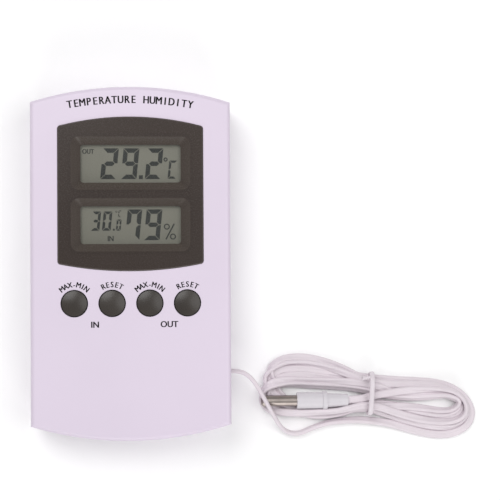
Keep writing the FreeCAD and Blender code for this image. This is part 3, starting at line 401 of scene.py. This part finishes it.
def words_mesh(name, places, height, narrow=0.8):
    """Several words or letters, each with its own matrix, struck twice side by side."""
    build = bmesh.new()
    shift = STRIKE_SHIFT * height * MM
    for words, matrix in places:
        for aside in (-shift, shift):
            mesh = glyph_mesh(words, height)
            mesh.transform(matrix @ Matrix.Translation((aside, 0, 0))
                           @ Matrix.Diagonal((narrow, 1, 1, 1)))
            build.from_mesh(mesh)
            bpy.data.meshes.remove(mesh)
    joined = bpy.data.meshes.new(name)
    build.to_mesh(joined)
    build.free()
    return joined


def on_arc(words, centre, radius, half_angle, top):
    """The place of each letter along an arc that is convex upwards."""
    places = []
    for i, letter in enumerate(words):
        angle = math.radians(half_angle * (1 - 2 * (i + 0.5) / len(words)))
        x = centre[0] - radius * math.sin(angle)
        y = centre[1] + radius * math.cos(angle)
        turn = Matrix.Rotation(angle, 4, "Z")
        places.append((letter, Matrix.Translation((x, y, top)) @ turn))
    return places


def labels():
    """What is printed on the front: a title, and the use of each button."""
    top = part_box("front_cover")[1].z + INK_LIFT
    caps = ["button_in_max_min", "button_in_reset", "button_out_max_min", "button_out_reset"]
    for name in caps:
        low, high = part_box(name)
        middle = (low + high) / 2
        words, half_angle = ("MAX-MIN", 47) if "max" in name else ("RESET", 35)
        letters = on_arc(words, (middle.x, middle.y), BUTTON_ARC, half_angle, top)
        printed(f"label_{name}", letters, BUTTON_LETTERS, 0.85)
    for words, x in (("IN", -11.1), ("OUT", 11.8)):
        place = Matrix.Translation((x * MM, GROUP_ROW, top))
        printed(f"label_{words.lower()}", [(words, place)], GROUP_LETTERS, 0.95)
    centre = (0, TITLE_TOP - TITLE_ARC)
    letters = on_arc("TEMPERATURE HUMIDITY", centre, TITLE_ARC, 10.1, top)
    printed("label_title", letters, TITLE_LETTERS, 0.82)


def printed(name, places, height, narrow):
    """A piece of black print on the front cover."""
    piece(name, words_mesh(name, places, height, narrow), "print_ink", smooth=False)


# ---- lead --------------------------------------------------------------------------------------

# From the grommet, over the end of the hank and the probe, to the floor and along the hank.
LEAD_ROUTE = [(x * MM, y * MM, z * MM) for x, y, z in (
    (31.0, -34.2, 10.0), (34.1, -34.2, 10.0), (37.2, -35.8, 9.9), (39.7, -39.0, 9.4),
    (42.2, -43.5, 8.4), (44.8, -48.2, 6.4), (47.4, -52.6, 3.7), (50.2, -55.0, 1.7),
    (54.0, -55.4, 1.3), (58.6, -53.3, 1.3), (64.8, -51.5, 1.3), (74.0, -51.0, 1.3),
    (83.2, -52.2, 1.3),
)]
CORE_RADIUS = 0.68 * MM
CORE_HALF_SPACING = 0.62 * MM
TURNS = 6
LAYER = 2 * CORE_RADIUS
PATH_STEP = 0.6 * MM
FLOOR_GAP = 0.02 * MM
# How the hank settles: the distance between the points that move, the number of rounds, and in
# each round the drop, the share of a bend and of a twist that is eased, and the share of a
# point's stray from its planned place that is taken back.
SETTLE_STEP = 2.4 * MM
SETTLE_ROUNDS = 260
ROUND_DROP = 0.03 * MM
BEND_EASE = 0.38
TWIST_EASE = 0.3
HOME_PULL = 0.03
# Points this many steps apart or fewer belong to one stretch and aren't pushed apart.
SAME_STRETCH = 3
TIE_REACH = 1.6 * MM
# The end in the sleeve is held; the wound part begins and ends clear of what is held.
END_HELD = 4 * MM
CLEAR_OF_FREE = 3 * MM
CLEAR_OF_END = 5 * MM

# Each end lobe of the hank lies between a wide turn and a tight one, in plan, from the tie round
# to the tie again.
RIGHT_WIDE = ((84.0, -50.8), (89.0, -53.4), (95.5, -56.3), (101.8, -57.5), (107.7, -56.2),
              (111.6, -53.1), (112.3, -48.6), (109.7, -44.0), (104.6, -40.6), (98.5, -38.9),
              (92.0, -38.7), (85.0, -38.8))
RIGHT_TIGHT = ((83.5, -46.3), (88.0, -46.8), (93.5, -47.4), (98.5, -48.7), (102.8, -50.1),
               (107.0, -49.8), (109.0, -46.4), (106.9, -42.8), (102.3, -42.2), (97.5, -43.5),
               (91.0, -44.2), (83.5, -44.0))
LEFT_WIDE = ((71.0, -35.6), (63.5, -32.8), (56.0, -30.7), (49.5, -30.2), (44.6, -31.8),
             (42.4, -35.6), (43.4, -40.0), (46.4, -44.6), (51.5, -48.6), (58.5, -50.0),
             (65.5, -49.3), (71.5, -48.4))
LEFT_TIGHT = ((71.0, -39.9), (64.0, -39.9), (57.5, -39.6), (51.0, -39.0), (46.4, -38.2),
              (42.2, -38.9), (40.6, -42.9), (42.6, -46.9), (49.0, -48.6), (57.5, -48.0),
              (65.0, -46.4), (71.5, -44.0))
# How wide each turn is, from 0 for the wide one to 1 for the tight one.
LEFT_SPREAD = (0.35, 0.0, 0.62, 0.1, 0.8, 1.0)
RIGHT_SPREAD = (0.0, 0.45, 0.70, 0.26, 0.88, 1.0)
# The points of a left lobe that lie under the probe.
UNDER_PROBE = (6, 7)


def between(wide, tight, share, height, chance):
    """The points of one lobe, part way from the wide turn to the tight one."""
    points = []
    for (a, b), (c, d) in zip(wide, tight):
        stray = chance.normal(0, 0.25, 2)
        points.append(((a + (c - a) * share + stray[0]) * MM, (b + (d - b) * share + stray[1]) * MM,
                       height))
    return points


def hank_points(tie):
    """The control points of every turn: round the right lobe, the tie, the left lobe, the tie."""
    chance = np.random.default_rng(11)
    points = []
    for turn in range(TURNS):
        height = CORE_RADIUS + turn * 1.1 * LAYER
        at_tie = tie.z - 1.2 * LAYER + turn // 2 * LAYER
        column = (4.4 - 2.6 * (turn % 2)) * MM
        points += between(RIGHT_WIDE, RIGHT_TIGHT, RIGHT_SPREAD[turn], height, chance)
        points.append((tie.x, tie.y + column, at_tie))
        under = CORE_RADIUS + (LAYER if LEFT_SPREAD[turn] > 0.5 else 0)
        for number, (x, y, z) in enumerate(between(LEFT_WIDE, LEFT_TIGHT, LEFT_SPREAD[turn],
                                                   height, chance)):
            points.append((x, y, under if number in UNDER_PROBE else z))
        points.append((tie.x, tie.y - column, at_tie))
    points += between(RIGHT_WIDE, RIGHT_TIGHT, 0.5, TURNS * 1.1 * LAYER, chance)
    sleeve_low, sleeve_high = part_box("probe_sleeve")
    middle = (sleeve_low + sleeve_high) / 2
    points.append((tie.x, tie.y - 0.5 * MM, middle.z + 0.4 * MM))
    points += sleeve_entry()
    return points[1:]


def sleeve_entry():
    """The last points of the lead, straight into the sleeve."""
    low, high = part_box("probe_sleeve")
    middle = (low + high) / 2
    return [(high.x + 3.5 * MM, middle.y, middle.z), (high.x - 0.5 * MM, middle.y, middle.z)]


def spline(name, points, resolution=8, closed=False):
    """A smooth curve whose control points are given."""
    curve = bpy.data.curves.new(name, "CURVE")
    curve.dimensions = "3D"
    curve.resolution_u = resolution
    line = curve.splines.new("NURBS")
    line.points.add(len(points) - 1)
    for point, place in zip(line.points, points):
        point.co = (*place, 1)
    line.order_u = 3
    if closed:
        line.use_cyclic_u = True
    else:
        line.use_endpoint_u = True
    return bpy.data.objects.new(name, curve)


def read_points(curve_object):
    """The points of a curve as Blender draws it."""
    mesh = bpy.data.meshes.new_from_object(curve_object)
    points = np.array([v.co for v in mesh.vertices], float)
    bpy.data.meshes.remove(mesh)
    return points


def lengths_along(points):
    """The distance of each point from the first, along the line."""
    return np.concatenate([[0], np.cumsum(np.linalg.norm(np.diff(points, axis=0), axis=1))])


def evenly(points, step):
    """The same line with points a step apart."""
    along = lengths_along(points)
    places = np.linspace(0, along[-1], int(round(along[-1] / step)) + 1)
    return np.stack([np.interp(places, along, points[:, k]) for k in range(3)], axis=1)


def unit(vectors):
    """The vectors, each scaled to a length of one."""
    return vectors / np.maximum(np.linalg.norm(vectors, axis=1), 1e-12)[:, None]


def first_sides(line, seed=3):
    """The direction of the flat lead's width at each point, with a slow chance twist."""
    tangents = unit(np.gradient(line, axis=0))
    level = unit(np.cross(tangents, (0, 0, 1.0)))
    knots = np.arange(0, len(line) + 20, 20)
    chance = np.random.default_rng(seed).uniform(-1.0, 1.0, len(knots))
    angle = np.interp(np.arange(len(line)), knots, chance)
    return level * np.cos(angle)[:, None] + np.array((0, 0, 1.0)) * np.sin(angle)[:, None]


def settle(line, held, tie_box, sleeve_box, tube_box):
    """Let the two cores of the lead sink and lie on each other, the floor and the probe.

    Returns the settled middle line and the direction of its width. held marks the points of the
    free stretch and of the end in the sleeve, which stay where they are. The pushing apart is
    soft: over about half of the length, stretches pressed together still sink into each other.
    """
    sides = first_sides(line)
    cores = np.stack([line + sides * CORE_HALF_SPACING, line - sides * CORE_HALF_SPACING])
    free = 1.0 - held
    rest = np.linalg.norm(np.diff(line, axis=0), axis=1)
    index = np.tile(np.arange(len(line)), 2)
    distant = np.abs(index[:, None] - index[None, :]) > SAME_STRETCH
    for _ in range(SETTLE_ROUNDS):
        cores[:, :, 2] -= ROUND_DROP * free
        bend = (cores[:, :-2] + cores[:, 2:]) / 2 - cores[:, 1:-1]
        cores[:, 1:-1] += BEND_EASE * bend * free[1:-1, None]
        drift = (line - cores.mean(axis=0)) * np.array((HOME_PULL, HOME_PULL, 0.0))
        cores += drift * free[:, None]
        for _ in range(3):
            hold_lengths(cores, rest, free)
            push_apart(cores, free, distant, 2 * CORE_RADIUS)
        untwist(cores, free)
        for low, high in (sleeve_box, tube_box):
            clear_rod(cores, free, low, high)
        stay_in_tie(cores, free, *tie_box)
        on_floor = np.maximum(cores[:, :, 2], CORE_RADIUS)
        cores[:, :, 2] = np.where(free > 0, on_floor, cores[:, :, 2])
    middle = cores.mean(axis=0)
    return middle, without_kinks(unit(cores[0] - cores[1]), middle, 6)


def stay_in_tie(cores, free, low, high):
    """Keep the points near the tie inside its loop."""
    wire = high.x - low.x
    middle = (low + high) / 2
    room = (high.y - low.y) / 2 - wire - CORE_RADIUS
    near = (np.abs(cores[:, :, 0] - middle.x) < TIE_REACH) & (free > 0)
    inside = np.clip(cores[:, :, 1], middle.y - room, middle.y + room)
    cores[:, :, 1] = np.where(near, inside, cores[:, :, 1])
    inside = np.clip(cores[:, :, 2], low.z + wire + CORE_RADIUS, high.z - wire - CORE_RADIUS)
    cores[:, :, 2] = np.where(near, inside, cores[:, :, 2])


def untwist(cores, free):
    """Keep the lead's width square to its length, and let its twist even out."""
    middle = cores.mean(axis=0)
    width = cores[0] - middle
    even = (width[:-2] + width[2:]) / 2 - width[1:-1]
    width[1:-1] += TWIST_EASE * even * free[1:-1, None]
    ahead = unit(np.gradient(middle, axis=0))
    width -= ahead * ((width * ahead).sum(axis=1) * free)[:, None]
    width = unit(width) * CORE_HALF_SPACING
    cores[0], cores[1] = middle + width, middle - width


def without_kinks(widths, line, rounds):
    """Turn each width to agree with its neighbours; a width may point to either side."""
    ahead = unit(np.gradient(line, axis=0))
    for i in range(1, len(widths)):
        if widths[i] @ widths[i - 1] < 0:
            widths[i] = -widths[i]
    for _ in range(rounds):
        widths[1:-1] = widths[:-2] + 2 * widths[1:-1] + widths[2:]
        widths = unit(widths - ahead * (widths * ahead).sum(axis=1)[:, None])
    return widths


def above_floor(line, widths):
    """Lift a line where the lead, turned on its edge, would dip into the floor."""
    lowest = CORE_RADIUS + CORE_HALF_SPACING * np.abs(widths[:, 2]) + FLOOR_GAP
    return np.column_stack([line[:, :2], np.maximum(line[:, 2], lowest)])


def hold_lengths(cores, rest, free):
    """Keep the points of each core, and the two cores, their distances apart."""
    step = cores[:, 1:] - cores[:, :-1]
    length = np.linalg.norm(step, axis=2)
    change = step * ((length - rest) / length * 0.4)[:, :, None]
    cores[:, :-1] += change * free[None, :-1, None]
    cores[:, 1:] -= change * free[None, 1:, None]
    across = cores[1] - cores[0]
    width = np.linalg.norm(across, axis=1)
    change = across * ((width - 2 * CORE_HALF_SPACING) / width * 0.5)[:, None]
    cores[0] += change * free[:, None]
    cores[1] -= change * free[:, None]


def push_apart(cores, free, distant, reach):
    """Move points of different stretches apart where they are closer than a core's width."""
    flat = cores.reshape(-1, 3)
    squared = sum((flat[:, None, k] - flat[None, :, k]) ** 2 for k in range(3))
    first, second = np.nonzero((squared < reach ** 2) & distant)
    if not len(first):
        return
    gap = flat[first] - flat[second]
    distance = np.sqrt(squared[first, second]) + 1e-9
    push, touches = np.zeros_like(flat), np.zeros(len(flat))
    np.add.at(push, first, gap * ((reach - distance) / distance / 2)[:, None])
    np.add.at(touches, first, 1)
    push /= np.sqrt(np.maximum(touches, 1))[:, None]
    flat += push * np.tile(free, 2)[:, None]


def clear_rod(cores, free, low, high):
    """Move points out of a round part that lies along X."""
    middle = (low + high) / 2
    room = (high.z - low.z) / 2 + CORE_RADIUS
    dy, dz = cores[:, :, 1] - middle.y, cores[:, :, 2] - middle.z
    distance = np.sqrt(dy ** 2 + dz ** 2) + 1e-9
    beside = (cores[:, :, 0] > low.x - 0.5 * MM) & (cores[:, :, 0] < high.x + 0.5 * MM)
    inside = beside & (distance < room) & (free > 0)
    scale = np.where(inside, room / distance, 1)
    cores[:, :, 1] = np.where(inside, middle.y + dy * scale, cores[:, :, 1])
    cores[:, :, 2] = np.where(inside, middle.z + dz * scale, cores[:, :, 2])


def twin_section(steps=10):
    """The outline of the flat lead: two round cores side by side with a groove between them."""
    waist = 0.80
    groove = math.acos(CORE_HALF_SPACING / CORE_RADIUS * waist)
    outline = []
    for side in (1, -1):
        for i in range(steps):
            angle = -math.pi + groove + (2 * math.pi - 2 * groove) * (i + 0.5) / steps
            outline.append((side * (CORE_HALF_SPACING + CORE_RADIUS * math.cos(angle)),
                            side * CORE_RADIUS * math.sin(angle)))
    return outline


def sweep(name, line, sides, section):
    """A closed mesh tube of one section along a line."""
    tangents = unit(np.gradient(line, axis=0))
    across = unit(sides - tangents * (sides * tangents).sum(axis=1)[:, None])
    upward = np.cross(tangents, across)
    build = bmesh.new()
    rings = [[build.verts.new(p + a * u + b * v) for u, v in section]
             for p, a, b in zip(line, across, upward)]
    join_rings(build, rings, rings[1:])
    build.faces.new(list(reversed(rings[0])))
    build.faces.new(rings[-1])
    return finished(build, name)


def join_rings(build, rings, following_rings):
    """Faces between each ring of points and the one after it."""
    for lower, upper in zip(rings, following_rings):
        for i in range(len(lower)):
            following = (i + 1) % len(lower)
            build.faces.new((lower[i], lower[following], upper[following], upper[i]))


def lead():
    """The free stretch, the hank and the end in the sleeve: one lead on one spline."""
    tie_low, tie_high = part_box("hank_tie")
    draft = read_points(spline("lead_draft", LEAD_ROUTE + hank_points((tie_low + tie_high) / 2)))
    line = evenly(draft, SETTLE_STEP)
    along = lengths_along(line)
    free_length = lengths_along(read_points(spline("route_draft", LEAD_ROUTE)))[-1]
    held = ((along < free_length) | (along > along[-1] - END_HELD)).astype(float)
    settled, sides = settle(line, held, (tie_low, tie_high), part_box("probe_sleeve"),
                            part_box("probe_tube"))

    # the spline's control points, with the direction of the lead's width at each
    wound = np.nonzero((along > free_length + CLEAR_OF_FREE)
                       & (along < along[-1] - CLEAR_OF_END))[0][::2]
    entry = np.array(sleeve_entry())
    points = np.vstack([LEAD_ROUTE, settled[wound], entry])
    widths = np.vstack([free_sides(np.array(LEAD_ROUTE)), sides[wound], sides[wound[-1:]],
                        sides[wound[-1:]]])
    widths = without_kinks(widths, points, 3)
    points = above_floor(points, widths)
    middle = read_points(spline("lead_line", points))
    edge = read_points(spline("lead_edge", points + widths * CORE_HALF_SPACING))
    places = lengths_along(middle)
    fine = np.linspace(0, places[-1], int(places[-1] / PATH_STEP))
    path, rim = (np.stack([np.interp(fine, places, curve[:, k]) for k in range(3)], axis=1)
                 for curve in (middle, edge))
    across = without_kinks(unit(rim - path), path, 8)
    path = above_floor(path, across)
    made = piece("lead", sweep("lead", path, across, twin_section()), "lead_sheath")
    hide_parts("lead_run", "lead_hank")
    return made, path


def free_sides(route):
    """The width of the free stretch: on edge at first, then leaning over along the floor."""
    tangents = unit(np.gradient(route, axis=0))
    level = unit(np.cross(tangents, (0, 0, 1.0)))
    upright = unit(np.cross(level, tangents))
    turn = np.clip((np.linspace(0, 1, len(route)) - 0.75) / 0.35, 0, 1)[:, None]
    return unit(upright * (1 - turn) + level * turn)


STRIP_HALF_WIDTH = 0.85 * MM
STRIP_HALF_THICKNESS = 0.45 * MM
STRIP_LEAN = 0.06
END_RADIUS = 0.36 * MM
END_LENGTH = 2.6 * MM
END_TWIST_RADIUS = 0.32 * MM
END_DROOP = 0.3 * MM
END_STEPS = 24


def tie():
    """A coated strip bound round the waist of the hank, its two ends twisted together."""
    low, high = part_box("hank_tie")
    middle, half = (low + high) / 2, (high - low) / 2
    bend = half.z - STRIP_HALF_THICKNESS
    flat = half.y - half.z
    made = piece("tie", strip_mesh(middle, bend, flat), "tie_coating")
    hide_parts("hank_tie")
    start = np.array((middle.x - 0.3 * MM, middle.y + flat + 0.6 * bend, middle.z + 0.72 * bend))
    return [made, twisted_end("tie_end_1", start, 0), twisted_end("tie_end_2", start, math.pi)]


def strip_mesh(middle, bend, flat):
    """The strip's loop: two half circles of radius bend, flat to each side of the middle."""
    loop = []
    for side in (1, -1):
        for i in range(13):
            angle = math.pi * (i / 12 - 0.5) + (0 if side > 0 else math.pi)
            y = side * flat + bend * math.cos(angle)
            loop.append((middle.x + STRIP_LEAN * y, middle.y + y,
                         middle.z + bend * math.sin(angle)))
    section = [(STRIP_HALF_WIDTH * math.cos(a),
                STRIP_HALF_THICKNESS * math.sin(a) * (1 + 0.5 * math.cos(a) ** 2))
               for a in (2 * math.pi * k / 14 for k in range(14))]
    smooth = read_points(spline("tie_loop", loop, resolution=5, closed=True))
    across = Vector((1, STRIP_LEAN, 0)).normalized()
    build = bmesh.new()
    rings = []
    for before, here, after in zip(np.roll(smooth, 1, 0), smooth, np.roll(smooth, -1, 0)):
        ahead = Vector(after - before).normalized()
        outward = across.cross(ahead).normalized()
        rings.append([build.verts.new(Vector(here) + across * u + outward * v)
                      for u, v in section])
    join_rings(build, rings, rings[1:] + rings[:1])
    return finished(build, "tie")


def twisted_end(name, start, phase):
    """One end of the strip, wound round the other; it sticks out to the left of the loop."""
    points = []
    for i in range(END_STEPS):
        share = i / (END_STEPS - 1)
        angle = phase + share * 3 * math.pi
        points.append(start + (-share * END_LENGTH,
                               END_TWIST_RADIUS * math.cos(angle) - share * END_DROOP,
                               END_TWIST_RADIUS * math.sin(angle)))
    line = np.array(points)
    sides = np.cross(unit(np.gradient(line, axis=0)), (0, 0, 1.0))
    section = [(END_RADIUS * math.cos(a), END_RADIUS * math.sin(a))
               for a in (2 * math.pi * k / 10 for k in range(10))]
    return piece(name, sweep(name, line, sides, section), "tie_coating")


def lead_and_tie():
    """The lead with its tie; the lead ends in the probe."""
    made, path = lead()
    fittings = [frame["nodes"][n] for n in ("probe_sleeve", "probe_tube")]
    fittings + tie()


# ---- floor, light and camera -------------------------------------------------------------------

FLOOR_HALF = 3.0
FLOOR_LEVEL = -0.05 * MM
WORLD_STRENGTH = 0.37
# name, place, diameter in metres and power in watts
LIGHTS = (("key", (-0.30, 0.45, 0.85), 0.7, 4.9), ("fill", (0.50, 0.05, 0.85), 0.8, 2.9),
          ("low", (0.05, -0.80, 0.40), 0.8, 3.2))


def studio():
    """A pale floor and soft light from all round, with three broad lamps."""
    half = FLOOR_HALF
    mesh = bpy.data.meshes.new("floor")
    corners = [(-half, -half, 0), (half, -half, 0), (half, half, 0), (-half, half, 0)]
    mesh.from_pydata(corners, [], [(0, 1, 2, 3)])
    mesh.materials.append(MATERIALS["floor"])
    floor = bpy.data.objects.new("floor", mesh)
    floor.location.z = FLOOR_LEVEL
    bpy.context.scene.collection.objects.link(floor)

    world = bpy.data.worlds.new("studio")
    world.use_nodes = True
    world.node_tree.nodes["Background"].inputs["Color"].default_value = (1.0, 1.0, 1.0, 1)
    world.node_tree.nodes["Background"].inputs["Strength"].default_value = WORLD_STRENGTH
    bpy.context.scene.world = world

    for name, place, size, power in LIGHTS:
        lamp = bpy.data.lights.new(name, "AREA")
        lamp.shape = "DISK"
        lamp.size = size
        lamp.energy = power
        holder = bpy.data.objects.new(name, lamp)
        holder.location = place
        holder.rotation_euler = (-Vector(place)).to_track_quat("-Z", "Y").to_euler()
        bpy.context.scene.collection.objects.link(holder)


CAMERA_PLACE = (6.98 * MM, -3.49 * MM, 454.95 * MM)
CAMERA_TURN = {"X": 1.010, "Y": -3.941, "Z": -0.338}
LENS_LENGTH = 100.8
SENSOR_WIDTH = 36.0


def camera():
    """A long lens almost straight above, a little to the right of the case's middle."""
    lens = bpy.data.cameras.new("camera")
    lens.sensor_width = SENSOR_WIDTH
    lens.lens = LENS_LENGTH
    lens.clip_start = 0.01
    lens.clip_end = 10.0
    view = bpy.data.objects.new("camera", lens)
    about_x, about_y, about_z = (Matrix.Rotation(math.radians(CAMERA_TURN[axis]), 4, axis)
                                 for axis in "XYZ")
    view.matrix_world = Matrix.Translation(CAMERA_PLACE) @ about_z @ about_y @ about_x
    bpy.context.scene.collection.objects.link(view)
    bpy.context.scene.camera = view
    bpy.context.scene.view_settings.view_transform = "Standard"


# ---- the whole scene ---------------------------------------------------------------------------

camera()
lead_and_tie()
studio()
dress_frame()
display_digits()
labels()
